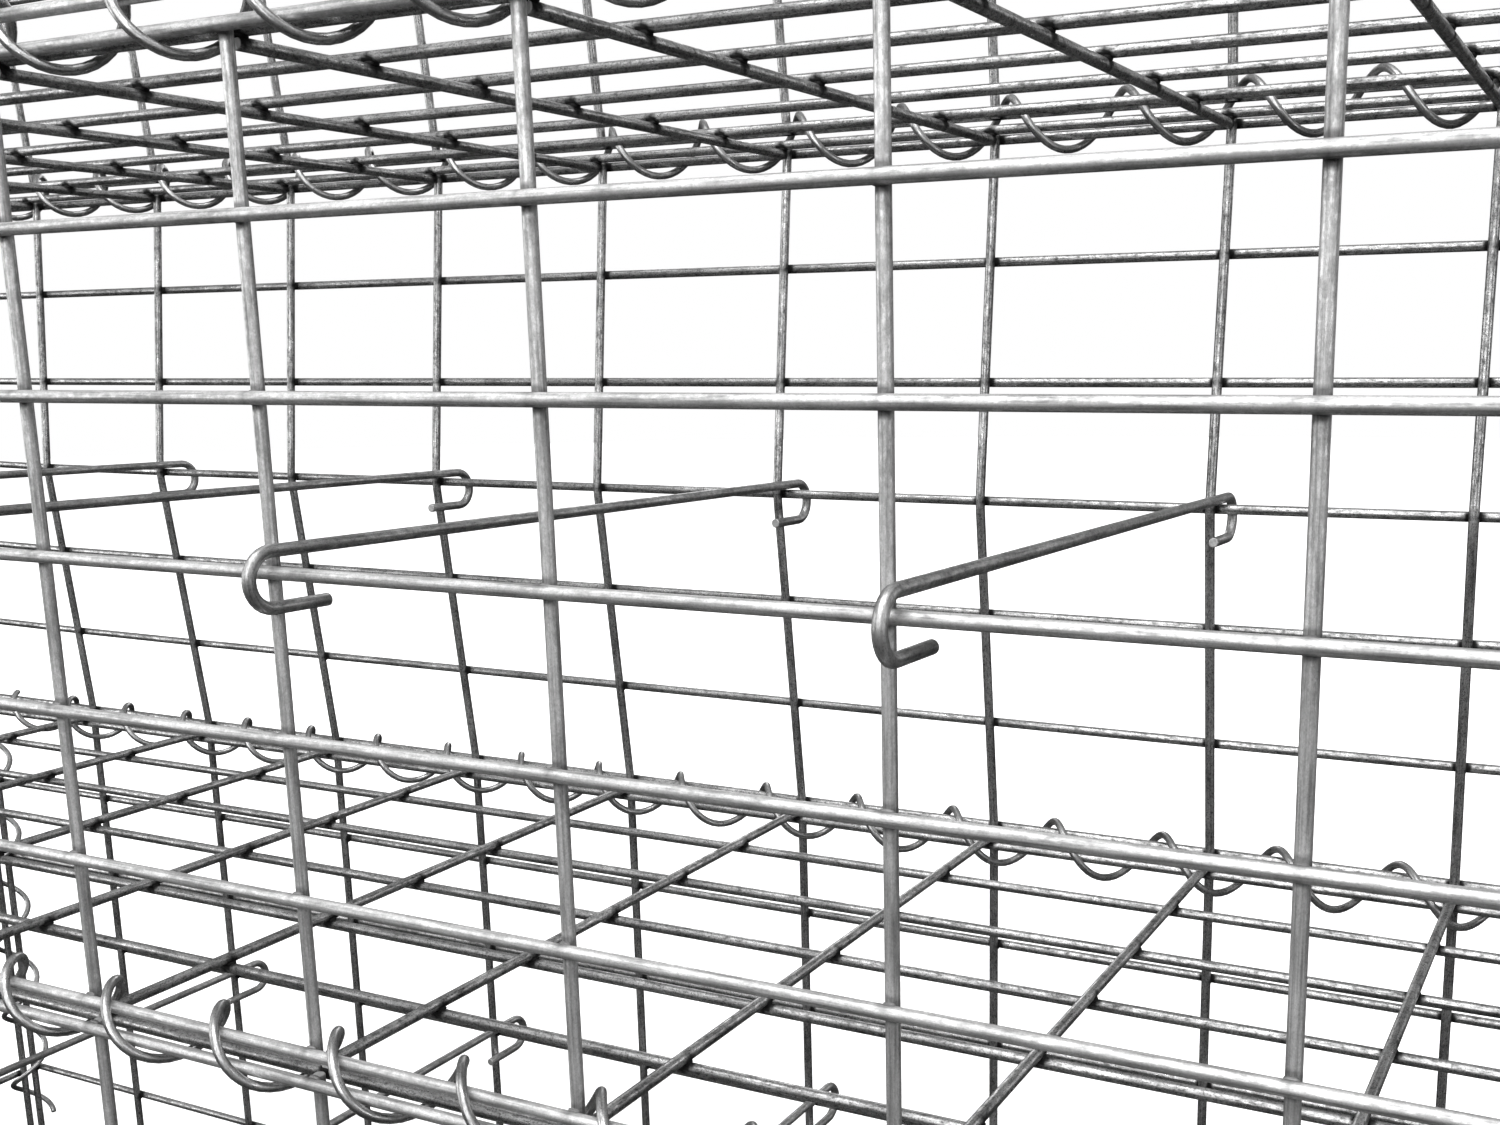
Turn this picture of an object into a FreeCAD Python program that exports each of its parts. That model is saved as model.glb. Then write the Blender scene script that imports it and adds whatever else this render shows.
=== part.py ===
import FreeCAD, Part
import math
import os

# A wall of three welded-mesh gabion cages, stacked and laced together, with no stone in them.
# Every panel is its own sheet of crossed wires: uprights or cross wires lie on the inner side,
# and the long wires lie outside them. Spiral binders are wound round the bundled edge wires
# wherever panels meet, and hooked spacer ties hold the front and back panels together.
#
# Frame: X runs along the wall, Y from the front to the back, Z up. The origin is on the ground,
# in the middle of the wall's length and depth. Tiers and floors are counted from the bottom.

SIZES = [
    ("mesh_wire", 4.0, "diameter of the panels' wire"),
    ("binder_wire", 3.2, "diameter of the spiral binders' wire"),
    ("tie_wire", 4.0, "diameter of the spacer ties' wire"),
    ("column_pitch", 100.0, "from one upright or cross wire to the next"),
    ("row_pitch", 50.0, "from one long wire to the next"),
    ("column_squares", 10, "meshes along the wall"),
    ("row_squares", 6, "meshes up one tier, and across a floor"),
    ("depth_squares", 3, "column pitches across an end panel"),
    ("overhang", 1.8, "how far a wire runs past the edge wire's centre"),
    ("weld_sink", 0.2, "how far two welded wires are pressed into each other"),
    ("inset", 8.4, "from a front or back panel in to the edge of the floors and end panels"),
    ("edge_gap", 10.0, "from one tier's top wire up to the next tier's bottom wire"),
    ("floor_drop", 7.0, "from a tier's bottom wire down to the long wires of its floor"),
    ("seat_lift", 3.0, "how much higher the front and straight back panels sit in their binders"),
    ("back_bow", 16.5, "how far short ties draw a back panel inwards at half its height"),
    ("coil_radius", 11.0, "from a binder's axis to the middle of its wire"),
    ("coil_pitch", 50.0, "one turn of a binder"),
    ("long_coil", 930.0, "length of a binder along the wall"),
    ("short_coil", 265.0, "length of a binder at an end or a corner"),
    ("coil_seat", 3.5, "from a back panel's long wires in to the binder's axis"),
    ("front_seat", 4.2, "the same for a front panel and for the corners"),
    ("end_seat", 4.0, "from the end of a floor out to an end binder's axis"),
    ("hook_radius", 8.3, "bend at each end of a tie, to the middle of its wire"),
    ("hook_leg", 21.0, "straight stretch of a tie's hook, back under the long wire"),
    ("tie_play", 0.3, "gap between a tie and the wires that it lies on and beside"),
    ("tie_lift", 2.3, "how far a tie's front end stands up from the long wire"),
    ("front_slack", 1.0, "from a front panel's long wire out to the bend's centre"),
    ("back_slack", 8.0, "the same at a back panel"),
]
TIERS = 3
TIE_COLUMNS = (2, 4, 6, 8)
# The bottom tier's ties are as long as the cage is deep, and its back panel is straight. The
# other tiers' ties are shorter and draw the back panel in.
DRAWN_TIERS = (False, True, True)
CROSS_WIRES_UP = (True, True, False, False)
# How much of the back panels' bow a column has, counted in from either end. The corner columns
# are laced to the end panels and stay straight.
DRAWN_IN = (0.0, 0.75, 1.0)
# Where the binders' wire starts, so that it misses the wires that leave each bundle.
BACK_COIL_STARTS = (42.0, 30.5, 56.0, 19.5)
FRONT_COIL_START = 8.0
LEFT_COIL_START = 12.0
RIGHT_COIL_START = 13.0
CORNER_COIL_START = 17.5

# Lengths that several sub-parts share, as expressions on the sheet's cells.
WELD = "(Sizes.mesh_wire - Sizes.weld_sink)"
LENGTH = "(Sizes.column_squares * Sizes.column_pitch)"
HEIGHT = "(Sizes.row_squares * Sizes.row_pitch)"
WIDTH = "(Sizes.depth_squares * Sizes.column_pitch)"
HALF_DEPTH = f"({WIDTH} / 2 + Sizes.inset)"
KNEE = f"({HEIGHT} / 2)"

X_AXIS = FreeCAD.Vector(1, 0, 0)
Y_AXIS = FreeCAD.Vector(0, 1, 0)
Z_AXIS = FreeCAD.Vector(0, 0, 1)
UPRIGHT = FreeCAD.Rotation()
ALONG_X = FreeCAD.Rotation(Y_AXIS, 90)
ALONG_Y = FreeCAD.Rotation(X_AXIS, -90)
HALF_TURN = FreeCAD.Rotation(Z_AXIS, 180)
UPSIDE_DOWN = FreeCAD.Rotation(X_AXIS, 180)
TILTED = FreeCAD.Rotation(X_AXIS, 1)

doc = FreeCAD.newDocument("gabion")
sheet = doc.addObject("Spreadsheet::Sheet", "Sizes")
for row, (alias, value, note) in enumerate(SIZES, start=1):
    sheet.set(f"A{row}", alias)
    sheet.set(f"B{row}", str(value))
    sheet.set(f"C{row}", note)
    sheet.setAlias(f"B{row}", alias)
doc.recompute()
nodes = []


def place(item, x, y, z, turn=UPRIGHT, angle=None):
    """Places an object by expressions, turned as a whole or by an angle about the turn's axis."""
    item.Placement = FreeCAD.Placement(FreeCAD.Vector(), turn)
    for axis, value in zip("xyz", (x, y, z)):
        item.setExpression(f"Placement.Base.{axis}", value)
    if angle:
        item.setExpression("Placement.Rotation.Angle", angle)
    return item


def rod(name, wire, length, x, y, z, turn=UPRIGHT, angle=None):
    """A straight wire of one of the sheet's diameters, whose axis starts at (x, y, z)."""
    cylinder = doc.addObject("Part::Cylinder", name)
    cylinder.setExpression("Radius", f"Sizes.{wire} / 2")
    cylinder.setExpression("Height", length)
    return place(cylinder, x, y, z, turn, angle)


def bent_wire(name, points):
    """A mesh wire through points with a slight bend at each one between its ends.

    It is made of its straight stretches, each a solid. They overlap just enough at a bend to
    close its outer side."""
    runs = [(end - start).normalize() for start, end in zip(points, points[1:])]
    bends = [before.getAngle(after) for before, after in zip(runs, runs[1:])]
    laps = [0] + [sheet.get("mesh_wire") / 2 * math.tan(bend / 2) for bend in bends] + [0]
    stretches = []
    for i, run in enumerate(runs):
        stretch = doc.addObject("Part::Cylinder", f"{name}_{i}")
        stretch.setExpression("Radius", "Sizes.mesh_wire / 2")
        stretch.Height = points[i].distanceToPoint(points[i + 1]) + laps[i] + laps[i + 1]
        stretch.Placement = FreeCAD.Placement(points[i] - run * laps[i], FreeCAD.Rotation(Z_AXIS, run))
        stretches.append(stretch)
    return stretches


def fused(name, members):
    """One wire made of several stretches."""
    fuse = doc.addObject("Part::MultiFuse", name)
    fuse.Shapes = members
    fuse.Refine = True
    return fuse


def node(label, members, x, y, z, turn=UPRIGHT, angle=None):
    """A named sub-part: its wires, placed in the wall. Its label names its file."""
    compound = doc.addObject("Part::Compound", label)
    compound.Label = label
    compound.Links = members
    nodes.append(place(compound, x, y, z, turn, angle))


def count(alias):
    """The number of wires over a number of meshes."""
    return int(sheet.get(alias)) + 1


def level(floor):
    """Height of a tier's bottom wire. The lowest end binders touch the ground."""
    ground_gap = "Sizes.coil_radius + Sizes.binder_wire / 2 + Sizes.edge_gap / 2"
    return f"({ground_gap} + {floor} * ({HEIGHT} + Sizes.edge_gap))"


def back_lift(tier):
    """How much higher a tier's back panel sits in its binders."""
    return "0" if DRAWN_TIERS[tier] else "Sizes.seat_lift"


def past_edges(length):
    """A wire's length over its panel, with the overhang at both ends."""
    return f"{length} + 2 * Sizes.overhang"


# Mesh wires, each panel in its own frame: its first corner at the origin, and the centres of its
# outer wires at zero depth.


def straight_mesh(name, inner):
    """Long wires outside, and straight uprights on their inner side, at that depth along Y."""
    wires = []
    for i in range(count("row_squares")):
        z = f"{i} * Sizes.row_pitch"
        wires.append(rod(f"{name}_row_{i}", "mesh_wire", past_edges(LENGTH), "-Sizes.overhang", "0", z, ALONG_X))
    for i in range(count("column_squares")):
        x = f"{i} * Sizes.column_pitch"
        wires.append(rod(f"{name}_upright_{i}", "mesh_wire", past_edges(HEIGHT), x, inner, "-Sizes.overhang"))
    return wires


def drawn_in(column):
    """How far the column of a drawn-in panel goes inwards at half its height."""
    from_end = min(column, count("column_squares") - 1 - column)
    return sheet.get("back_bow") * DRAWN_IN[min(from_end, len(DRAWN_IN) - 1)]


def drawn_in_mesh():
    """Long wires outside, uprights inside, towards -Y, drawn in by the ties to a knee at half height."""
    pitch, rise, past = sheet.get("column_pitch"), sheet.get("row_pitch"), sheet.get("overhang")
    last_column, last_row = count("column_squares") - 1, count("row_squares") - 1
    weld = sheet.get("mesh_wire") - sheet.get("weld_sink")
    knee = last_row * rise / 2
    wires = []
    for i in range(last_row + 1):
        share = 1 - abs(i * rise - knee) / knee
        bent_columns = (0, 1, 2, last_column - 2, last_column - 1, last_column)
        line = [FreeCAD.Vector(j * pitch, -share * drawn_in(j), i * rise) for j in bent_columns]
        line[0] += (line[0] - line[1]).normalize() * past
        line[-1] += (line[-1] - line[-2]).normalize() * past
        wires += bent_wire(f"drawn_row_{i}", line if share else [line[0], line[-1]])
    for i in range(last_column + 1):
        bow = drawn_in(i)
        foot = -weld * math.hypot(1, bow / knee) + bow * past / knee
        line = [(foot, -past), (foot - bow - bow * past / knee, knee), (foot, 2 * knee + past)]
        line = [FreeCAD.Vector(i * pitch, y, z) for y, z in line]
        wires += bent_wire(f"drawn_upright_{i}", line if bow else [line[0], line[-1]])
    return wires


def end_mesh():
    """Rows outside, uprights inside, towards +X."""
    wires = []
    for i in range(count("row_squares")):
        z = f"{i} * Sizes.row_pitch"
        wires.append(rod(f"end_row_{i}", "mesh_wire", past_edges(WIDTH), "0", "-Sizes.overhang", z, ALONG_Y))
    for i in range(count("depth_squares")):
        y = f"{i} * Sizes.column_pitch"
        wires.append(rod(f"end_upright_{i}", "mesh_wire", past_edges(HEIGHT), WELD, y, "-Sizes.overhang"))
    return wires


def floor_mesh():
    """Long wires with the cross wires lying on top of them."""
    wires = []
    for i in range(count("row_squares")):
        y = f"{i} * Sizes.row_pitch"
        wires.append(rod(f"floor_row_{i}", "mesh_wire", past_edges(LENGTH), "-Sizes.overhang", y, "0", ALONG_X))
    for i in range(count("column_squares")):
        x = f"{i} * Sizes.column_pitch"
        wires.append(rod(f"floor_cross_{i}", "mesh_wire", past_edges(WIDTH), x, "-Sizes.overhang", WELD, ALONG_Y))
    return wires


def coil(name, length):
    """A right-handed spiral binder along +Z, whose wire starts on the +X side."""
    helix = doc.addObject("Part::Helix", f"{name}_line")
    helix.SegmentLength = 1
    # The pitch comes first: a long line at the default pitch would have a thousand turns.
    for size, value in (("Pitch", "coil_pitch"), ("Radius", "coil_radius"), ("Height", length)):
        setattr(helix, size, sheet.get(value))
        helix.setExpression(size, f"Sizes.{value}")
    section = doc.addObject("Part::Circle", f"{name}_section")
    section.setExpression("Radius", "Sizes.binder_wire / 2")
    rise = "atan(Sizes.coil_pitch / (2 * pi * Sizes.coil_radius))"
    place(section, "Sizes.coil_radius", "0", "0", TILTED, f"{rise} - 90 deg")
    doc.recompute()
    sweep = doc.addObject("Part::Sweep", name)
    sweep.Sections = [section]
    sweep.Spine = (helix, [f"Edge{i + 1}" for i in range(len(helix.Shape.Edges))])
    sweep.Solid = True
    sweep.Frenet = True
    return sweep


def tie(name, span):
    """A spacer tie along +Y: a straight wire over the long wires, hooked back under them at both ends.

    The origin is where the front bend meets the straight, and span is the straight's length."""
    under = "-2 * Sizes.hook_radius"
    stretches = [
        rod(f"{name}_straight", "tie_wire", span, "0", "0", "0", ALONG_Y),
        rod(f"{name}_front_leg", "tie_wire", "Sizes.hook_leg", "0", "0", under, ALONG_Y),
        rod(f"{name}_back_leg", "tie_wire", "Sizes.hook_leg", "0", f"{span} - Sizes.hook_leg", under, ALONG_Y),
    ]
    for end, y, outwards in (("front", "0", -Y_AXIS), ("back", span, Y_AXIS)):
        bend = doc.addObject("Part::Torus", f"{name}_{end}_bend")
        bend.Angle3 = 180
        bend.setExpression("Radius1", "Sizes.hook_radius")
        bend.setExpression("Radius2", "Sizes.tie_wire / 2")
        facing = FreeCAD.Rotation(Z_AXIS, outwards, Z_AXIS.cross(outwards), "XYZ")
        stretches.append(place(bend, "0", y, "-Sizes.hook_radius", facing))
    return fused(name, stretches)


front_wires = straight_mesh("front", WELD)
straight_back_wires = straight_mesh("back", f"-{WELD}")
drawn_back_wires = drawn_in_mesh()
end_wires = end_mesh()
floor_wires = floor_mesh()
long_coil = coil("long_spiral", "long_coil")
short_coil = coil("short_spiral", "short_coil")
full_span = f"(2 * {HALF_DEPTH} + Sizes.front_slack + Sizes.back_slack)"
short_span = f"({full_span} - Sizes.back_bow)"
full_tie = tie("full_tie", full_span)
short_tie = tie("short_tie", short_span)

# Panels of each tier.
outside = f"({LENGTH} / 2 + Sizes.inset)"
for tier in range(TIERS):
    z = level(tier)
    node(f"front_panel_{tier + 1}", front_wires, f"-{LENGTH} / 2", f"-{HALF_DEPTH}", f"{z} + Sizes.seat_lift")
    back_wires = drawn_back_wires if DRAWN_TIERS[tier] else straight_back_wires
    node(f"back_panel_{tier + 1}", back_wires, f"-{LENGTH} / 2", HALF_DEPTH, f"{z} + {back_lift(tier)}")
    node(f"left_panel_{tier + 1}", end_wires, f"-{outside}", f"-{WIDTH} / 2", z)
    node(f"right_panel_{tier + 1}", end_wires, outside, f"{WIDTH} / 2", z, HALF_TURN)

# Floors, from the base up to the lid. Those with the cross wires underneath are turned over.
for floor, name in enumerate(("base_panel", "floor_panel_2", "floor_panel_3", "lid_panel")):
    edge, turn = (f"-{WIDTH} / 2", UPRIGHT) if CROSS_WIRES_UP[floor] else (f"{WIDTH} / 2", UPSIDE_DOWN)
    node(name, floor_wires, f"-{LENGTH} / 2", edge, f"{level(floor)} - Sizes.floor_drop", turn)

# Binders along the wall. Their wire starts at the top and winds towards the front. The lid is
# laced only at the back, where its binder is the hinge.
TOP_FIRST_ALONG_X = FreeCAD.Rotation(FreeCAD.Vector(1, 0, 1), 180)
for floor in range(TIERS + 1):
    name = "lid_hinge_binder" if floor == TIERS else f"back_binder_{floor + 1}"
    seat, lift = ("front_seat", back_lift(0)) if floor == 0 else ("coil_seat", "0")
    start = f"{BACK_COIL_STARTS[floor]} - {LENGTH} / 2"
    z = f"{level(floor)} - Sizes.edge_gap / 2 + {lift}"
    node(name, [long_coil], start, f"{HALF_DEPTH} - Sizes.{seat}", z, TOP_FIRST_ALONG_X)
for floor in range(TIERS):
    start = f"{FRONT_COIL_START} - {LENGTH} / 2"
    z = f"{level(floor)} - Sizes.edge_gap / 2 + Sizes.seat_lift"
    y = f"Sizes.front_seat - {HALF_DEPTH}"
    node(f"front_binder_{floor + 1}", [long_coil], start, y, z, TOP_FIRST_ALONG_X)

# Binders across the ends. The left ones start at the top and the right ones at the bottom.
TOP_FIRST_ALONG_Y = FreeCAD.Rotation(FreeCAD.Vector(1, 1, 1), -120)
for floor in range(TIERS):
    out = f"({LENGTH} / 2 + Sizes.end_seat)"
    z = f"{level(floor)} - Sizes.edge_gap / 2"
    y = f"{LEFT_COIL_START} - {WIDTH} / 2"
    node(f"left_binder_{floor + 1}", [short_coil], f"-{out}", y, z, TOP_FIRST_ALONG_Y)
    y = f"{RIGHT_COIL_START} - {WIDTH} / 2"
    node(f"right_binder_{floor + 1}", [short_coil], out, y, z, TOP_FIRST_ALONG_Y * HALF_TURN)

# Binders up the corners. The rows of the two panels leave the spiral on two sides, so its wire
# passes the side of the front or back rows at a height that is clear of both sets.
row_side = "asin(Sizes.front_seat / Sizes.coil_radius)"
CORNERS = (
    ("front_left", -1, -1, f"-{row_side}", 17.0, 17.0),
    ("back_left", -1, 1, row_side, 9.5, 12.5),
    ("front_right", 1, -1, f"180 deg + {row_side}", 12.5, 12.5),
    ("back_right", 1, 1, f"180 deg - {row_side}", 14.0, 17.0),
)
for tier in range(TIERS):
    for corner, side, face, passing, drawn_height, straight_height in CORNERS:
        height = drawn_height if DRAWN_TIERS[tier] else straight_height
        x = f"{side} * ({LENGTH} / 2 + Sizes.front_seat)"
        y = f"{face} * ({HALF_DEPTH} - Sizes.front_seat)"
        angle = f"{passing} + 360 deg * ({CORNER_COIL_START} - {height}) / Sizes.coil_pitch"
        z = f"{level(tier)} + {CORNER_COIL_START}"
        node(f"corner_binder_{corner}_{tier + 1}", [short_coil], x, y, z, FreeCAD.Rotation(Z_AXIS, 1), angle)

# Spacer ties, over the middle rows and beside an upright, with a little play. They fall from the
# front panel to the back one.
for tier in range(TIERS):
    shape, span = (short_tie, short_span) if DRAWN_TIERS[tier] else (full_tie, full_span)
    for number, column in enumerate(TIE_COLUMNS, start=1):
        beside = "Sizes.mesh_wire / 2 + Sizes.tie_wire / 2 + Sizes.tie_play"
        x = f"{column} * Sizes.column_pitch - {LENGTH} / 2 + {beside}"
        y = f"-{HALF_DEPTH} - Sizes.front_slack"
        z = f"{level(tier)} + {KNEE} + Sizes.seat_lift + Sizes.tie_lift + {beside}"
        fall = f"(Sizes.seat_lift - {back_lift(tier)} + Sizes.tie_lift)"
        slope = f"-atan({fall} / ({span} - Sizes.back_slack))"
        node(f"spacer_tie_{tier + 1}_{number}", [shape], x, y, z, TILTED, slope)

doc.recompute()
for item in doc.Objects:
    if "Invalid" in item.State or "Error" in item.State:
        raise RuntimeError(f"{item.Label} failed: {item.State}")
for item in nodes:
    if item.Shape.isNull() or not item.Shape.isValid():
        raise RuntimeError(f"{item.Label} has no valid shape")

os.makedirs("parts", exist_ok=True)
for item in nodes:
    item.Shape.exportStep(f"parts/{item.Label}.step")
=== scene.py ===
"""Looks for the welded mesh gabion wall: smooth galvanised wires with welds and cut ends.

They stand in place of the CAD wires, and each is placed from the box of the CAD node that it
stands for. Lengths are in metres.
"""
import math
import random

import bpy
import numpy as np
from mathutils import Euler, Matrix, Vector


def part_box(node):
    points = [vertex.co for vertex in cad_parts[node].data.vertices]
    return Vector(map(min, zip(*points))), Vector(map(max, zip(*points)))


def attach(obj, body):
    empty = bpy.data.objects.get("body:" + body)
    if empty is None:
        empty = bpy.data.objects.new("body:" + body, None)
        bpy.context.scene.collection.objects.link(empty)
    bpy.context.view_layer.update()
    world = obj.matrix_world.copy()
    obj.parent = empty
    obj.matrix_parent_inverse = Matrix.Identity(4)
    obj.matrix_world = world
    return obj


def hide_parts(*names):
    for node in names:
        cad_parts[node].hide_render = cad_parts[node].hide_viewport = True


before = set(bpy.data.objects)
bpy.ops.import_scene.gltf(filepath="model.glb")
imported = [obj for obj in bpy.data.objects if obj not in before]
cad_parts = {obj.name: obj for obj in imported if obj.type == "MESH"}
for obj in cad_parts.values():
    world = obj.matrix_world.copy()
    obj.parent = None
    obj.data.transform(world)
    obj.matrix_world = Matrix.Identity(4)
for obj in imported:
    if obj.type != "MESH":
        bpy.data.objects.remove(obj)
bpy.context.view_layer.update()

X, Y, Z = Vector((1, 0, 0)), Vector((0, 1, 0)), Vector((0, 0, 1))

# ---------------------------------------------------------------- sizes of the wirework

TIERS = (1, 2, 3)
TIES_PER_TIER = (1, 2, 3, 4)
STRAIGHT_TIER = 1            # the ties draw in the back panels of the other tiers

# Panels.
MESH_RADIUS = 0.0020
COLUMN_PITCH = 0.100
ROW_PITCH = 0.050
OVERHANG = 0.0018            # a wire's end past the centre of the panel's edge wire
WELD_SINK = 0.0002           # how far two welded wires are pressed into each other
WELD = 2 * MESH_RADIUS - WELD_SINK
BACK_BOW = 0.0165            # how far a back panel is drawn in at half its height
DRAWN_IN = (0.0, 0.75, 1.0)  # the share of that bow of each column, counted in from either end
KNEE_REACH = 0.0044          # half the length of a bend in a drawn-in wire

# Floors and lid, with the side of the long wires that the cross wires lie on.
FLOORS = {"base_panel": 1, "floor_panel_2": 1, "floor_panel_3": -1, "lid_panel": -1}

# Spiral binders. The wire's ends are cut square to it, so they stand past the spiral's length.
BINDER_RADIUS = 0.0016
COIL_PITCH = 0.050
COIL_RADIUS = 0.011
END_STAND = BINDER_RADIUS * math.cos(math.atan(COIL_PITCH / (2 * math.pi * COIL_RADIUS)))

# Corner spirals: the direction in which the wire passes the front or back rows, in degrees from
# +X, and how far above the tier's bottom wire it does so, at a drawn-in and at a straight back panel.
ROW_SEAT = 0.0042            # from a corner spiral's middle to the rows that it passes
ROW_SIDE = math.degrees(math.asin(ROW_SEAT / COIL_RADIUS))
CORNER_FOOT = 0.0175         # from the tier's bottom wire up to the spiral's lower end
CORNERS = {
    "front_left": (-ROW_SIDE, 0.0170, 0.0170),
    "back_left": (ROW_SIDE, 0.0095, 0.0125),
    "front_right": (180 + ROW_SIDE, 0.0125, 0.0125),
    "back_right": (180 - ROW_SIDE, 0.0140, 0.0170),
}

# Spacer ties.
TIE_RADIUS = 0.0020
HOOK_RADIUS = 0.0083
HOOK_LEG = 0.021

# Welds, with the range that each size varies over.
NUGGET_SIZE = 0.0021
NUGGET_SIZES = (0.94, 1.06)
NUGGET_THICKNESS = 0.0014
NUGGET_THICKNESSES = (0.85, 1.1)
NUGGET_POWER = 4             # 2 would make a weld round, and more makes it squarer
WELD_STAIN_AND_SHADE_REACH = 0.0042         # how far a weld's heat stain and painted crevice shade spread
WELD_STAIN_AND_SHADE_FADE = 0.0010          # the width of its soft edge

# How finely things are divided.
MESH_SIDES = 16
BINDER_SIDES = 12
TURN_STEPS = 28              # rings in one turn of a spiral
BEND_STEPS = 14              # rings round a tie's hook
KNEE_STEPS = 9               # places that a bend is averaged over
NUGGET_SIDES = 16
NUGGET_RINGS = 5
CROSSING_RINGS = (-0.0043, -0.0031, -0.002, 0.0, 0.002, 0.0031, 0.0043)  # along a wire, at a crossing
KNEE_RINGS = (-1, -0.5, 0.5, 1)  # along a bend, as shares of its half length

END_BEVEL = 0.0003           # the rounded rim that the shears leave on a cut end
GRAIN_SPREAD = 40.0          # how far apart two wires can lie in the zinc's pattern
ASKEW = (0.31, 0.52, 0.80)   # a direction that no wire runs along

random.seed(7)


# ---------------------------------------------------------------- wires


class Wirework:
    """Collects tubes and welds into one mesh, with what the zinc material reads at each vertex."""

    def __init__(self):
        self.verts = []
        self.faces = []
        self.flat = []
        self.grain = []
        self.cut = []
        self.weld_points = []
        self.count = 0

    def add(self, verts, faces, flat, grain, cut):
        self.verts.append(verts)
        self.grain.append(grain)
        self.cut.append(cut)
        self.faces += [tuple(index + self.count for index in face) for face in faces]
        self.flat += flat
        self.count += len(verts)

    def stain_and_shade(self, verts):
        """How near each vertex is to a weld, from 0 to 1: the mask of the weld's heat stain and painted
        crevice shade.
        """
        if not self.weld_points:
            return np.zeros(len(verts))
        nearest = np.full(len(verts), np.inf)
        for point in np.array(self.weld_points):
            nearest = np.minimum(nearest, np.linalg.norm(verts - point, axis=1))
        return np.clip((WELD_STAIN_AND_SHADE_REACH - nearest) / WELD_STAIN_AND_SHADE_FADE, 0.0, 1.0)

    def piece(self, name, node, body, slot, material):
        """The finished piece, which stands for a CAD node and rides on its body."""
        verts = np.concatenate(self.verts)
        mesh = bpy.data.meshes.new(name)
        mesh.from_pydata(verts.tolist(), [], self.faces)
        mesh.polygons.foreach_set("use_smooth", [not flat for flat in self.flat])
        grain = mesh.attributes.new("grain", "FLOAT_VECTOR", "POINT")
        grain.data.foreach_set("vector", np.concatenate(self.grain).ravel())
        for label, values in (("cut", np.concatenate(self.cut)), ("weld", self.stain_and_shade(verts))):
            mesh.attributes.new(label, "FLOAT", "POINT").data.foreach_set("value", values)
        mesh.materials.append(material)
        piece = bpy.data.objects.new(name, mesh)
        bpy.context.scene.collection.objects.link(piece)
        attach(piece, body)
        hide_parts(node)


def directions(points):
    """Unit tangents of a line of points."""
    tangents = np.gradient(points, axis=0)
    return tangents / np.linalg.norm(tangents, axis=1)[:, None]


def carried_normals(tangents):
    """Unit normals that turn with the line but never about it."""
    start = np.cross(tangents[0], ASKEW)
    normals = [start / np.linalg.norm(start)]
    for tangent in tangents[1:]:
        normal = normals[-1] - tangent * np.dot(normals[-1], tangent)
        normals.append(normal / np.linalg.norm(normal))
    return np.array(normals)


def add_wire(work, points, radius, sides):
    """A round wire along a line of points, with sheared ends."""
    points = np.array(points, dtype=float)
    tangents = directions(points)
    normals = carried_normals(tangents)
    sideways = np.cross(tangents, normals)
    run = np.concatenate(([0.0], np.cumsum(np.linalg.norm(np.diff(points, axis=0), axis=1))))

    # Each ring has its centre, radius, the point that it is turned like, and its place along the
    # wire. The first and last points carry two rings each: the full wire and the inside of the bevel.
    last = len(points) - 1
    rings = [(points[0], radius - END_BEVEL, 0, 0.0)]
    rings.append((points[0] + tangents[0] * END_BEVEL, radius, 0, END_BEVEL))
    rings += [(points[i], radius, i, run[i]) for i in range(1, last)]
    rings.append((points[-1] - tangents[-1] * END_BEVEL, radius, last, run[-1] - END_BEVEL))
    rings.append((points[-1], radius - END_BEVEL, last, run[-1]))

    angles = np.arange(sides) * 2 * math.pi / sides
    offset = random.uniform(0.0, GRAIN_SPREAD)
    verts, grain, cut = [], [], []
    for number, (centre, size, i, along) in enumerate(rings):
        across = np.outer(np.cos(angles), normals[i]) + np.outer(np.sin(angles), sideways[i])
        verts.append(centre + size * across)
        along_wire = np.full(sides, along + offset)
        grain.append(np.stack([along_wire, size * np.cos(angles), size * np.sin(angles)], 1))
        cut.append(np.full(sides, 1.0 if number in (0, len(rings) - 1) else 0.0))
    faces = []
    for ring in range(len(rings) - 1):
        for k in range(sides):
            here, there = ring * sides + k, ring * sides + (k + 1) % sides
            faces.append((here, there, there + sides, here + sides))
    flat = [False] * len(faces)
    end = (len(rings) - 1) * sides
    faces += [tuple(range(sides - 1, -1, -1)), tuple(range(end, end + sides))]
    flat += [True, True]
    work.add(np.concatenate(verts), faces, flat, np.concatenate(grain), np.concatenate(cut))


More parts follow.
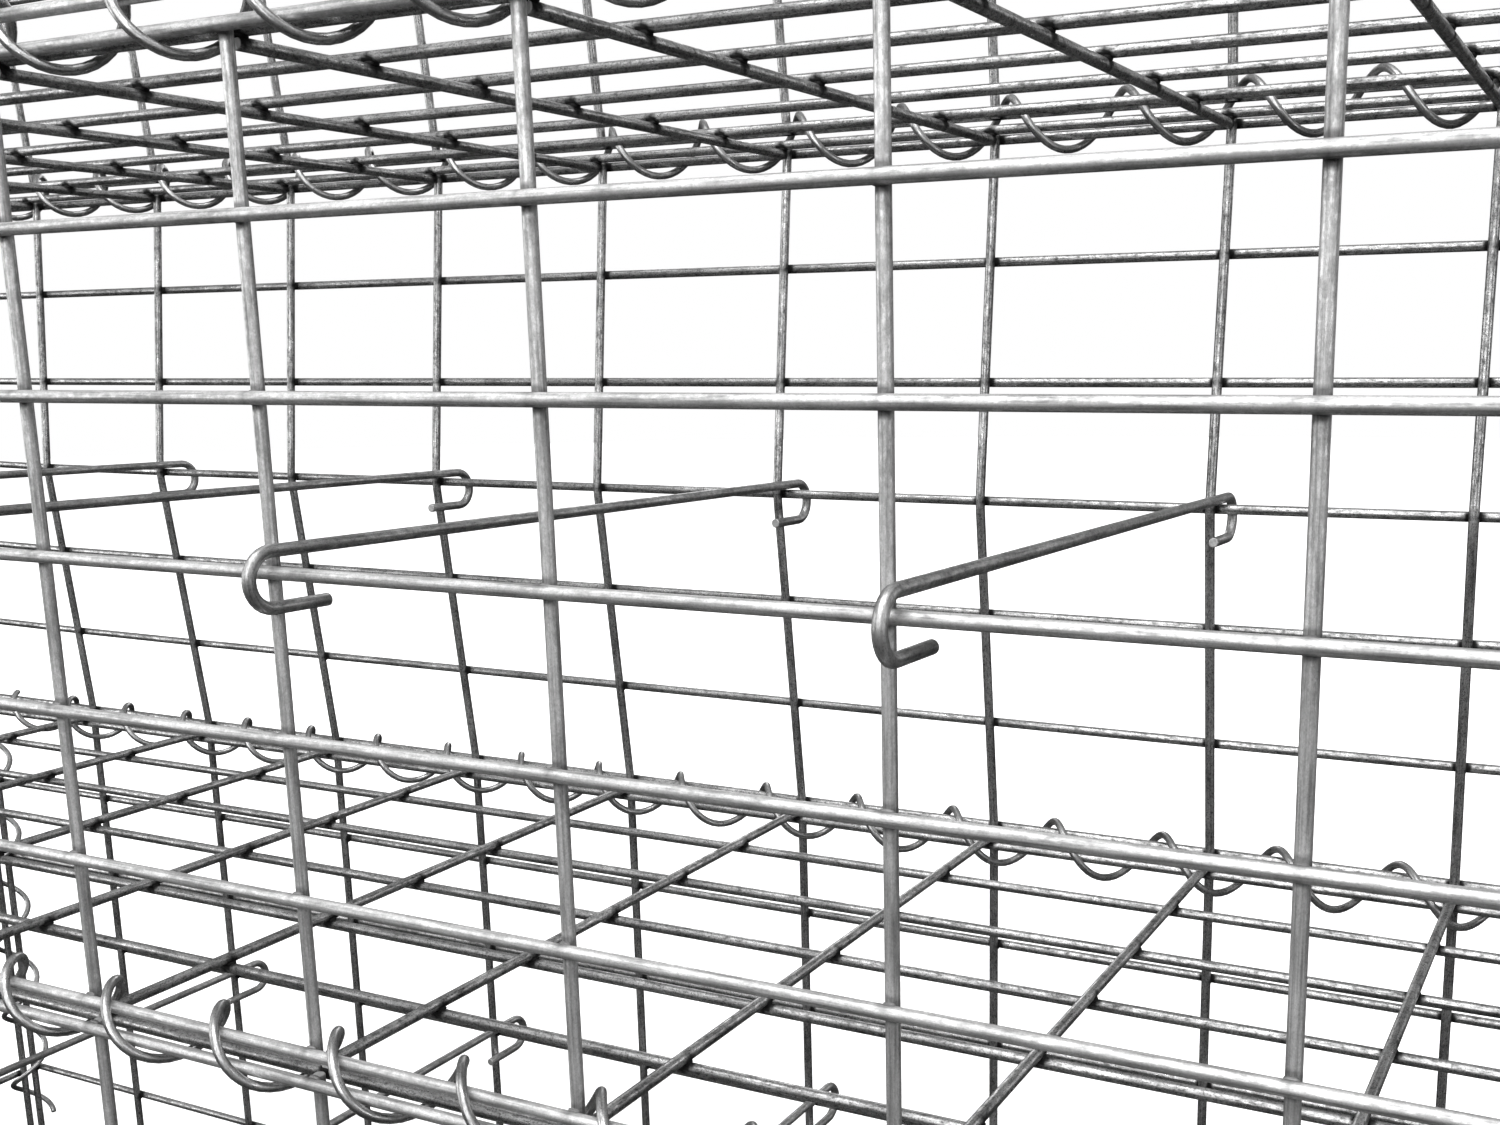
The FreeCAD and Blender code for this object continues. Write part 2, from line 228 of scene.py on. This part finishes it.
def add_weld(work, point, normal):
    """The squeezed-out metal where two wires are welded: a flat cushion with four soft corners."""
    turned = Vector(normal).normalized().to_track_quat("Z", "X").to_matrix()
    size = NUGGET_SIZE * random.uniform(*NUGGET_SIZES)
    thickness = NUGGET_THICKNESS * random.uniform(*NUGGET_THICKNESSES)
    verts = [turned @ Vector((0, 0, thickness))]
    for ring in range(1, NUGGET_RINGS + 1):
        tilt = math.pi * ring / (NUGGET_RINGS + 1)
        for k in range(NUGGET_SIDES):
            angle = 2 * math.pi * k / NUGGET_SIDES
            cosine, sine = math.cos(angle), math.sin(angle)
            squareness = (abs(cosine) ** NUGGET_POWER + abs(sine) ** NUGGET_POWER) ** (-1 / NUGGET_POWER)
            out = size * squareness * math.sin(tilt)
            verts.append(turned @ Vector((out * cosine, out * sine, thickness * math.cos(tilt))))
    verts.append(turned @ Vector((0, 0, -thickness)))
    bottom = len(verts) - 1
    faces = []
    for k in range(NUGGET_SIDES):
        step = (k + 1) % NUGGET_SIDES
        faces.append((0, 1 + k, 1 + step))
        for ring in range(NUGGET_RINGS - 1):
            row = 1 + ring * NUGGET_SIDES
            faces.append((row + k, row + NUGGET_SIDES + k, row + NUGGET_SIDES + step, row + step))
        row = 1 + (NUGGET_RINGS - 1) * NUGGET_SIDES
        faces.append((row + k, bottom, row + step))
    verts = np.array([Vector(point) + vert for vert in verts])
    grain = verts + random.uniform(0.0, GRAIN_SPREAD)
    work.add(verts, faces, [False] * len(faces), grain, np.zeros(len(verts)))
    work.weld_points.append(tuple(point))


# ---------------------------------------------------------------- panels


def stations(crossings, extra=()):
    """Where a wire has its rings: at both ends, and close together about each crossing."""
    low, high = crossings[0] - OVERHANG, crossings[-1] + OVERHANG
    places = {round(crossing + ring, 6) for crossing in crossings for ring in CROSSING_RINGS}
    places |= set(extra)
    inside = sorted(place for place in places if low + 2 * END_BEVEL < place < high - 2 * END_BEVEL)
    return [low] + inside + [high]


def flat_panel(work, corner, along, across, outwards, columns, rows):
    """Crossed straight wires: long ones along one axis, and short ones welded to their inner side."""
    corner, along, across, outwards = (np.array(v, dtype=float) for v in (corner, along, across, outwards))
    column_places = [i * COLUMN_PITCH for i in range(columns)]
    row_places = [i * ROW_PITCH for i in range(rows)]
    for row in row_places:
        line = [corner + across * row + along * s for s in stations(column_places)]
        add_wire(work, line, MESH_RADIUS, MESH_SIDES)
    inner = corner - outwards * WELD
    for column in column_places:
        line = [inner + along * column + across * s for s in stations(row_places)]
        add_wire(work, line, MESH_RADIUS, MESH_SIDES)
    for row in row_places:
        for column in column_places:
            add_weld(work, corner + across * row + along * column - outwards * WELD / 2, outwards)


def soft_steps(place, places, values):
    """A value that runs straight between its steps, with a short bend at each step."""
    window = np.linspace(-KNEE_REACH, KNEE_REACH, KNEE_STEPS)
    return float(np.interp(place + window, places, values).mean())


def drawn_in_panel(work, corner, columns, rows):
    """A back panel: its long wires lie behind the uprights, and the ties draw it in at half height."""
    column_places = [i * COLUMN_PITCH for i in range(columns)]
    row_places = [i * ROW_PITCH for i in range(rows)]
    shares = [DRAWN_IN[min(i, columns - 1 - i, len(DRAWN_IN) - 1)] for i in range(columns)]
    knee = row_places[-1] / 2
    bends = [place for i in (1, 2) for place in (column_places[i], column_places[-1 - i])]
    near_bends = [bend + ring * KNEE_REACH for bend in bends for ring in KNEE_RINGS]
    near_knee = [knee + ring * KNEE_REACH for ring in KNEE_RINGS]
    for row in row_places:
        bow = BACK_BOW * (1 - abs(row - knee) / knee)
        line = []
        for s in stations(column_places, near_bends):
            depth = bow * soft_steps(s, column_places, shares)
            line.append((corner[0] + s, corner[1] - depth, corner[2] + row))
        add_wire(work, line, MESH_RADIUS, MESH_SIDES)

    # An upright's two halves are followed for this much past its ends, so that they stay straight.
    beyond = 1.0
    heights = (-beyond, knee, 2 * knee + beyond)
    for column, share in zip(column_places, shares):
        slope = BACK_BOW * share / knee
        depths = (slope * beyond, -slope * knee, slope * beyond)
        gap = WELD * math.hypot(1, slope)
        line = []
        for s in stations(row_places, near_knee):
            depth = soft_steps(s, heights, depths)
            line.append((corner[0] + column, corner[1] - gap + depth, corner[2] + s))
        add_wire(work, line, MESH_RADIUS, MESH_SIDES)
        for row in row_places:
            depth = BACK_BOW * share * (1 - abs(row - knee) / knee)
            add_weld(work, (corner[0] + column, corner[1] - depth - WELD / 2, corner[2] + row), (0, 1, 0))


def wire_box(node):
    """The lowest and highest corner of a panel's box, drawn in to the centres of its wires."""
    low, high = (Vector(corner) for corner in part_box(node))
    inset = Vector((MESH_RADIUS,) * 3)
    return low + inset, high - inset


def wires_over(span, pitch):
    """The number of wires across a panel, from the first wire's centre to the last one's."""
    return round(span / pitch) + 1


def front_panel(tier, material):
    node = f"front_panel_{tier}"
    low, high = wire_box(node)
    columns, rows = wires_over(high.x - low.x, COLUMN_PITCH), wires_over(high.z - low.z, ROW_PITCH)
    work = Wirework()
    flat_panel(work, low, (1, 0, 0), (0, 0, 1), (0, -1, 0), columns, rows)
    work.piece(f"front_mesh_{tier}", node, "cage", "mesh_wire", material)


def back_panel(tier, material):
    node = f"back_panel_{tier}"
    low, high = wire_box(node)
    columns, rows = wires_over(high.x - low.x, COLUMN_PITCH), wires_over(high.z - low.z, ROW_PITCH)
    corner = (low.x, high.y, low.z)
    work = Wirework()
    if tier == STRAIGHT_TIER:
        flat_panel(work, corner, (1, 0, 0), (0, 0, 1), (0, 1, 0), columns, rows)
    else:
        drawn_in_panel(work, corner, columns, rows)
    work.piece(f"back_mesh_{tier}", node, "cage", "mesh_wire", material)


def end_panel(side, tier, material):
    node = f"{side}_panel_{tier}"
    low, high = wire_box(node)
    columns, rows = wires_over(high.y - low.y, COLUMN_PITCH), wires_over(high.z - low.z, ROW_PITCH)
    outside = low.x if side == "left" else high.x
    outwards = (-1, 0, 0) if side == "left" else (1, 0, 0)
    work = Wirework()
    flat_panel(work, (outside, low.y, low.z), (0, 1, 0), (0, 0, 1), outwards, columns, rows)
    work.piece(f"{side}_mesh_{tier}", node, "cage", "mesh_wire", material)


def floor_panel(node, cross_side, material):
    low, high = wire_box(node)
    columns, rows = wires_over(high.x - low.x, COLUMN_PITCH), wires_over(high.y - low.y, ROW_PITCH)
    long_height = low.z if cross_side > 0 else high.z
    work = Wirework()
    flat_panel(work, (low.x, low.y, long_height), (1, 0, 0), (0, 1, 0), (0, 0, -cross_side), columns, rows)
    body = "lid" if node == "lid_panel" else "cage"
    work.piece(node.replace("_panel", "_mesh"), node, body, "mesh_wire", material)


# ---------------------------------------------------------------- binders and ties


def spiral(node, axis, start, piece_name, material):
    """A spiral binder. start gives its wire's first direction and the one that it winds towards."""
    low, high = (Vector(corner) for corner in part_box(node))
    middle = (low + high) / 2
    first, second = start
    length = (high - low).dot(axis) - 2 * END_STAND
    foot = middle - axis * length / 2
    turns = length / COIL_PITCH
    points = []
    for t in np.linspace(0, turns, round(turns * TURN_STEPS) + 1):
        angle = 2 * math.pi * t
        out = first * math.cos(angle) + second * math.sin(angle)
        points.append(foot + axis * COIL_PITCH * t + out * COIL_RADIUS)
    work = Wirework()
    add_wire(work, points, BINDER_RADIUS, BINDER_SIDES)
    work.piece(piece_name, node, "cage", "binder_wire", material)


def binders(material):
    for tier in TIERS:
        for side in ("back", "front"):
            spiral(f"{side}_binder_{tier}", X, (Z, -Y), f"{side}_spiral_{tier}", material)
        spiral(f"left_binder_{tier}", Y, (Z, X), f"left_spiral_{tier}", material)
        spiral(f"right_binder_{tier}", Y, (-Z, -X), f"right_spiral_{tier}", material)
        for corner, (passing, drawn_height, straight_height) in CORNERS.items():
            height = straight_height if tier == STRAIGHT_TIER else drawn_height
            angle = math.radians(passing + 360 * (CORNER_FOOT - height) / COIL_PITCH)
            turned = Matrix.Rotation(angle, 3, "Z")
            node = f"corner_binder_{corner}_{tier}"
            spiral(node, Z, (turned @ X, turned @ Y), f"corner_spiral_{corner}_{tier}", material)
    spiral("lid_hinge_binder", X, (Z, -Y), "lid_hinge_spiral", material)


def tie(tier, number, material):
    """A spacer tie: a straight wire with a half turn and a leg at each end, which falls to the back."""
    node = f"spacer_tie_{tier}_{number}"
    low, high = (Vector(corner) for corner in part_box(node))
    reach = HOOK_RADIUS + TIE_RADIUS
    hook_height = 2 * reach
    level_span = high.y - low.y - 2 * reach
    slope = math.asin((high.z - low.z - hook_height) / level_span)
    span = level_span / math.cos(slope)
    origin = Vector(((low.x + high.x) / 2, low.y + reach, high.z - TIE_RADIUS))
    line = [(HOOK_LEG, -2 * HOOK_RADIUS)]
    for k in range(BEND_STEPS + 1):
        angle = math.pi * k / BEND_STEPS
        line.append((-HOOK_RADIUS * math.sin(angle), -HOOK_RADIUS * (1 + math.cos(angle))))
    line += [(-y + span, z) for y, z in reversed(line)]
    tilt = Matrix.Rotation(-slope, 3, "X")
    points = [origin + tilt @ Vector((0, y, z)) for y, z in line]
    work = Wirework()
    add_wire(work, points, TIE_RADIUS, MESH_SIDES)
    work.piece(f"tie_wire_{tier}_{number}", node, f"tie_{tier}_{number}", "tie_wire", material)


# ---------------------------------------------------------------- node trees


def grey(value):
    """An opaque grey."""
    return (value, value, value, 1)


class Nodes:
    """Short calls for a node tree. An input is a number or another node's output."""

    def __init__(self, tree):
        self.tree = tree

    def new(self, kind):
        return self.tree.nodes.new("ShaderNode" + kind)

    def link(self, source, target):
        self.tree.links.new(source, target)

    def attribute(self, name, output):
        node = self.new("Attribute")
        node.attribute_name = name
        return node.outputs[output]

    def noise(self, vector, scale, detail, roughness):
        """Noise over a vector, each part of which is scaled first."""
        scaled = self.new("VectorMath")
        scaled.operation = "MULTIPLY"
        scaled.inputs[1].default_value = scale
        self.link(vector, scaled.inputs[0])
        node = self.new("TexNoise")
        node.inputs["Scale"].default_value = 1.0
        node.inputs["Detail"].default_value = detail
        node.inputs["Roughness"].default_value = roughness
        self.link(scaled.outputs[0], node.inputs["Vector"])
        return node.outputs["Fac"]

    def ramp(self, value, stops):
        """A grey that runs through stops, each a place and its grey."""
        node = self.new("ValToRGB")
        elements = node.color_ramp.elements
        for element, (place, shade) in zip(elements, (stops[0], stops[-1])):
            element.position = place
            element.color = grey(shade)
        for place, shade in stops[1:-1]:
            elements.new(place).color = grey(shade)
        self.link(value, node.inputs["Fac"])
        return node.outputs["Color"]

    def math(self, operation, first, second):
        node = self.new("Math")
        node.operation = operation
        node.use_clamp = True
        for socket, value in zip(node.inputs, (first, second)):
            if isinstance(value, (int, float)):
                socket.default_value = value
            else:
                self.link(value, socket)
        return node.outputs[0]

    def mix(self, factor, first, second, blend="MIX"):
        node = self.new("Mix")
        node.data_type = "RGBA"
        node.blend_type = blend
        for socket, value in zip((node.inputs[0], node.inputs[6], node.inputs[7]), (factor, first, second)):
            if isinstance(value, (int, float)):
                socket.default_value = value if socket.type == "VALUE" else grey(value)
            else:
                self.link(value, socket)
        return node.outputs[2]

    def times(self, colour, other):
        return self.mix(1.0, colour, other, "MULTIPLY")


def new_material(name):
    """A material, the calls for its node tree, and its shader."""
    material = bpy.data.materials.new(name)
    material.use_nodes = True
    return material, Nodes(material.node_tree), material.node_tree.nodes["Principled BSDF"]


# ---------------------------------------------------------------- galvanised wire

# Patterns in the zinc: how fine each is along the wire and in both directions across it, its detail
# and its roughness.
BLOTCHES = ((55, 190, 190), 5, 0.65)
PATCHES = ((320, 620, 620), 4, 0.68)
STREAKS = ((40, 1300, 1300), 3, 0.55)
GRIT = ((1500, 1900, 1900), 2, 0.7)

# Where the patterns turn from dark to light, and what they multiply the zinc's grey by.
BODY_STOPS = (0.32, 0.48, 0.66)
LINE_STOPS = ((0.34, 0.62), (0.52, 1.0), (0.70, 1.15))
DAPPLE_STOPS = ((0.47, 0.92), (0.62, 1.22))
DIRT_STOP = 0.34             # below it a patch or a speck of grit is as dark as dirt makes it
CLEAN_STOP = 0.50
ROUGH_STOPS = (0.32, 0.62)
ROUGHER = 0.26               # how much rougher the dull patches are

# A weld's nearly black mark: partly a heat stain, partly painted shade in the crevices beside the crossing.
SCORCH_AND_SHADE_COVER = 0.97
SCORCH_AND_SHADE_GREY = 0.018
SCORCH_ROUGHNESS = 0.8
CUT_GREY = 0.66
STREAK_SHARE = 0.35          # the shares of the patterns in the relief
PATCH_SHARE = 0.45
GRIT_SHARE = 0.2
RELIEF_DEPTH = 0.0004


def zinc(name, dark, middle, light, dirt, gloss, relief, scorching_and_shade, metal):
    """Galvanised wire: drawn streaks, blotches of dull and bright zinc, grit, welds darkened by heat stains
    and painted crevice shade, cut ends.
    """
    material, nodes, shader = new_material(name)
    grain = nodes.attribute("grain", "Vector")
    blotches = nodes.noise(grain, *BLOTCHES)
    patches = nodes.noise(grain, *PATCHES)
    streaks = nodes.noise(grain, *STREAKS)
    grit = nodes.noise(grain, *GRIT)

    body = nodes.ramp(blotches, tuple(zip(BODY_STOPS, (dark, middle, light))))
    dapple = nodes.ramp(patches, ((DIRT_STOP, 1.0 - dirt),) + DAPPLE_STOPS)
    lines = nodes.ramp(streaks, LINE_STOPS)
    specks = nodes.ramp(grit, ((DIRT_STOP, 1.0 - dirt), (CLEAN_STOP, 1.0)))
    colour = nodes.times(nodes.times(nodes.times(body, dapple), lines), specks)
    # Beside the welds the colour turns nearly black: a heat stain, and painted shade in the crevices beside
    # the crossing.
    scorch_and_shade = nodes.math("MULTIPLY", nodes.attribute("weld", "Fac"), nodes.math("ADD", patches, scorching_and_shade))
    colour = nodes.mix(nodes.math("MULTIPLY", scorch_and_shade, SCORCH_AND_SHADE_COVER), colour, SCORCH_AND_SHADE_GREY)
    colour = nodes.mix(nodes.attribute("cut", "Fac"), colour, CUT_GREY)
    nodes.link(colour, shader.inputs["Base Color"])
    shader.inputs["Metallic"].default_value = metal

    rough = nodes.ramp(patches, tuple(zip(ROUGH_STOPS, (gloss + ROUGHER, gloss))))
    nodes.link(nodes.mix(scorch_and_shade, rough, SCORCH_ROUGHNESS), shader.inputs["Roughness"])

    streak_height = nodes.math("MULTIPLY", streaks, STREAK_SHARE)
    height = nodes.math("ADD", streak_height, nodes.math("MULTIPLY", patches, PATCH_SHARE))
    height = nodes.math("ADD", height, nodes.math("MULTIPLY", grit, GRIT_SHARE))
    bump = nodes.new("Bump")
    bump.inputs["Strength"].default_value = relief
    bump.inputs["Distance"].default_value = RELIEF_DEPTH
    nodes.link(height, bump.inputs["Height"])
    nodes.link(bump.outputs["Normal"], shader.inputs["Normal"])
    return material


bright_zinc = zinc("bright_zinc", dark=0.44, middle=0.58, light=0.70, dirt=0.16,
                   gloss=0.42, relief=0.10, scorching_and_shade=0.1, metal=0.82)
dull_zinc = zinc("dull_zinc", dark=0.28, middle=0.45, light=0.66, dirt=0.60,
                 gloss=0.26, relief=0.30, scorching_and_shade=0.7, metal=0.93)
binder_zinc = zinc("binder_zinc", dark=0.26, middle=0.40, light=0.58, dirt=0.30,
                   gloss=0.26, relief=0.3, scorching_and_shade=0.0, metal=0.92)
tie_zinc = zinc("tie_zinc", dark=0.28, middle=0.40, light=0.54, dirt=0.32,
                gloss=0.32, relief=0.3, scorching_and_shade=0.0, metal=0.86)

for tier in TIERS:
    front_panel(tier, bright_zinc)
    back_panel(tier, dull_zinc)
    for side in ("left", "right"):
        end_panel(side, tier, dull_zinc)
    for number in TIES_PER_TIER:
        tie(tier, number, tie_zinc)
for node, cross_side in FLOORS.items():
    floor_panel(node, cross_side, dull_zinc)
binders(binder_zinc)


# ---------------------------------------------------------------- stage

STAGE_RADIUS = 9.0
STAGE_STEPS = 96
FLOOR_PROFILE = ((0.001, 0.0), (3.0, 0.0), (STAGE_RADIUS, 0.0))  # distance from Z, and height
DOME_STEPS = 24
DOME_TOP = math.pi / 2 - 0.001  # the dome stops just short of its pole
FLOOR_GREY = 0.8
FLOOR_GLOW = {"From Min": 0.5, "From Max": 2.0, "To Min": 0.55, "To Max": 1.0}  # over the distance
MATTE = 0.9


def plain(name, shade):
    """A matte surface that glows white. Also gives the calls for its node tree, and its shader."""
    material, nodes, shader = new_material(name)
    shader.inputs["Base Color"].default_value = grey(shade)
    shader.inputs["Roughness"].default_value = MATTE
    shader.inputs["Specular IOR Level"].default_value = 0.0
    shader.inputs["Emission Color"].default_value = grey(1)
    shader.inputs["Emission Strength"].default_value = 1.0
    return material, nodes, shader


def pale_floor():
    """A plain floor that glows less under the wall, where it takes the lights, than further out."""
    material, nodes, shader = plain("pale_floor", FLOOR_GREY)
    geometry = nodes.new("NewGeometry")
    distance = nodes.new("VectorMath")
    distance.operation = "LENGTH"
    glow = nodes.new("MapRange")
    for socket, value in FLOOR_GLOW.items():
        glow.inputs[socket].default_value = value
    nodes.link(geometry.outputs["Position"], distance.inputs[0])
    nodes.link(distance.outputs["Value"], glow.inputs["Value"])
    nodes.link(glow.outputs[0], shader.inputs["Emission Strength"])
    return material


def stage_piece(name, profile, material):
    """A surface of revolution about Z, seen by the camera but not mirrored in the wires."""
    angles = [2 * math.pi * k / STAGE_STEPS for k in range(STAGE_STEPS)]
    verts = [(r * math.cos(angle), r * math.sin(angle), z) for r, z in profile for angle in angles]
    faces = []
    for i in range(len(profile) - 1):
        low, high = i * STAGE_STEPS, (i + 1) * STAGE_STEPS
        for k in range(STAGE_STEPS):
            step = (k + 1) % STAGE_STEPS
            faces.append((low + k, low + step, high + step, high + k))
    mesh = bpy.data.meshes.new(name)
    mesh.from_pydata(verts, [], faces)
    mesh.polygons.foreach_set("use_smooth", [True] * len(faces))
    mesh.materials.append(material)
    item = bpy.data.objects.new(name, mesh)
    bpy.context.scene.collection.objects.link(item)
    item.visible_diffuse = False
    item.visible_glossy = False
    item.visible_shadow = False


stage_piece("pale_floor", FLOOR_PROFILE, pale_floor())
rises = np.linspace(0, DOME_TOP, DOME_STEPS)
dome = [(STAGE_RADIUS * math.cos(rise), STAGE_RADIUS * math.sin(rise)) for rise in rises]
stage_piece("backdrop", dome, plain("backdrop", 0.0)[0])


# ---------------------------------------------------------------- light

LIGHT_AIM = Vector((0, 0, 0.5))

# Name, place, width, height and brightness of each soft light.
SOFT_BOXES = (
    ("overhead", (0.2, -1.2, 3.3), 3.4, 2.0, 5.4),
    ("front", (0.6, -3.6, 2.0), 3.6, 2.2, 3.9),
    ("left", (-3.6, -1.6, 1.3), 2.8, 2.2, 2.8),
    ("right", (3.6, -0.8, 1.3), 0.9, 2.2, 3.6),
    ("back_left", (-1.8, 3.4, 1.6), 1.0, 1.8, 2.4),
    ("back_right", (2.4, 3.0, 1.6), 0.8, 1.8, 2.0),
)

# The studio's own light, from straight below at 0 to straight above at 1.
SKY_STOPS = ((0.0, 0.03), (0.47, 0.04), (0.54, 0.07), (0.75, 0.32), (1.0, 0.6))


def soft_box(name, place, width, height, brightness):
    """A soft light of even brightness, turned to the middle of the wall."""
    light = bpy.data.lights.new(name, "AREA")
    light.shape = "RECTANGLE"
    light.size = width
    light.size_y = height
    light.energy = brightness * math.pi * width * height
    lamp = bpy.data.objects.new(name, light)
    lamp.location = place
    lamp.rotation_euler = (LIGHT_AIM - Vector(place)).to_track_quat("-Z", "Y").to_euler()
    lamp.visible_camera = False
    bpy.context.scene.collection.objects.link(lamp)


for box in SOFT_BOXES:
    soft_box(*box)

world = bpy.data.worlds.new("studio")
bpy.context.scene.world = world
world.use_nodes = True
sky = Nodes(world.node_tree)
background = world.node_tree.nodes["Background"]
split = sky.new("SeparateXYZ")
rescale = sky.new("MapRange")
rescale.inputs["From Min"].default_value = -1.0
sky.link(sky.new("TexCoord").outputs["Generated"], split.inputs[0])
sky.link(split.outputs["Z"], rescale.inputs["Value"])
sky.link(sky.ramp(rescale.outputs[0], SKY_STOPS), background.inputs["Color"])
background.inputs["Strength"].default_value = 1.0


# ---------------------------------------------------------------- camera

# It stands close in front of the middle tier, right of its middle, and looks down to the left.
CAMERA_PLACE = Vector((0.4657, -0.4907, 0.5432))
CAMERA_YAW = 25.84           # degrees to the left of +Y
CAMERA_DROP = 11.51          # degrees below level
CAMERA_ROLL = 0.575          # degrees
FOCAL_LENGTH = 38.19         # in millimetres, like the sensor's width
SENSOR_WIDTH = 36.0
LENS_SHIFT = (-0.100, 0.0717)
NEAREST = 0.01

lens = bpy.data.cameras.new("camera")
lens.lens = FOCAL_LENGTH
lens.sensor_width = SENSOR_WIDTH
lens.shift_x, lens.shift_y = LENS_SHIFT
lens.clip_start = NEAREST
camera = bpy.data.objects.new("camera", lens)
turn = Euler((math.radians(90 - CAMERA_DROP), 0, math.radians(CAMERA_YAW))).to_matrix()
turn = turn @ Matrix.Rotation(math.radians(-CAMERA_ROLL), 3, "Z")
camera.matrix_world = Matrix.Translation(CAMERA_PLACE) @ turn.to_4x4()
bpy.context.scene.collection.objects.link(camera)
bpy.context.scene.camera = camera

bpy.context.scene.view_settings.view_transform = "Standard"
